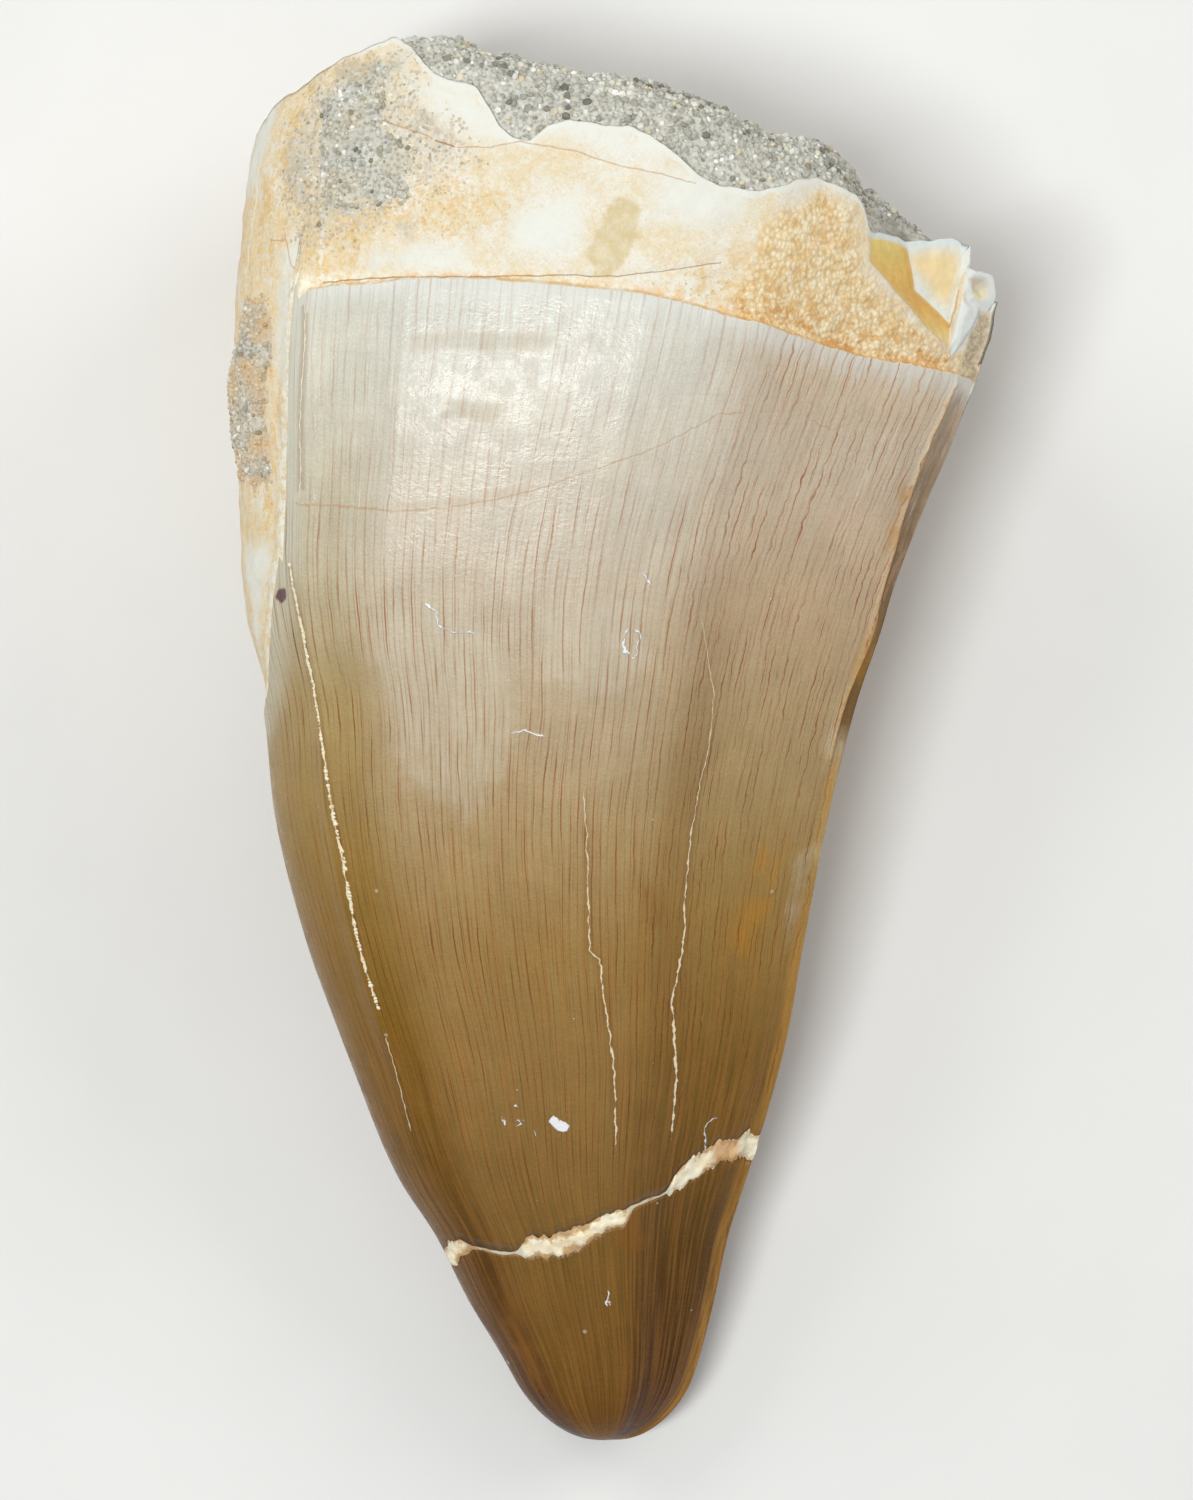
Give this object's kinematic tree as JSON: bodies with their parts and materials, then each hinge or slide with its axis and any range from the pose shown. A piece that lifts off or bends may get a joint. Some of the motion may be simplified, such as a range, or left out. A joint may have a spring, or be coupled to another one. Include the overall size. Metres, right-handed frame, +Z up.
{
  "type": "fossil mosasaur tooth",
  "caption": "Curved conical fossil tooth lying on its side, with glossy tan enamel, a broken pale root filled with cemented sand, and a glued tip.",
  "frame": {"origin": "on the ground under the middle of the tooth as it lies", "axes": "+Z up, away from the ground; +Y from the tip to the broken root; +X to the side with the concave cutting edge"},
  "size_m": [0.0314, 0.058, 0.0218],
  "materials": {
    "crown": "glossy enamel over matte dentine",
    "tip": "glossy enamel",
    "repair_filler": "matte paste",
    "sand_fill": "rough cemented sand",
    "root_sand_crust": "rough cemented sand",
    "flank_sand_crust": "rough cemented sand"
  },
  "bodies": {
    "root": {"crown": "crown", "tip": "tip", "repair_filler": "repair_filler", "sand_fill": "sand_fill", "root_sand_crust": "root_sand_crust", "flank_sand_crust": "flank_sand_crust"}
  },
  "joints": []
}
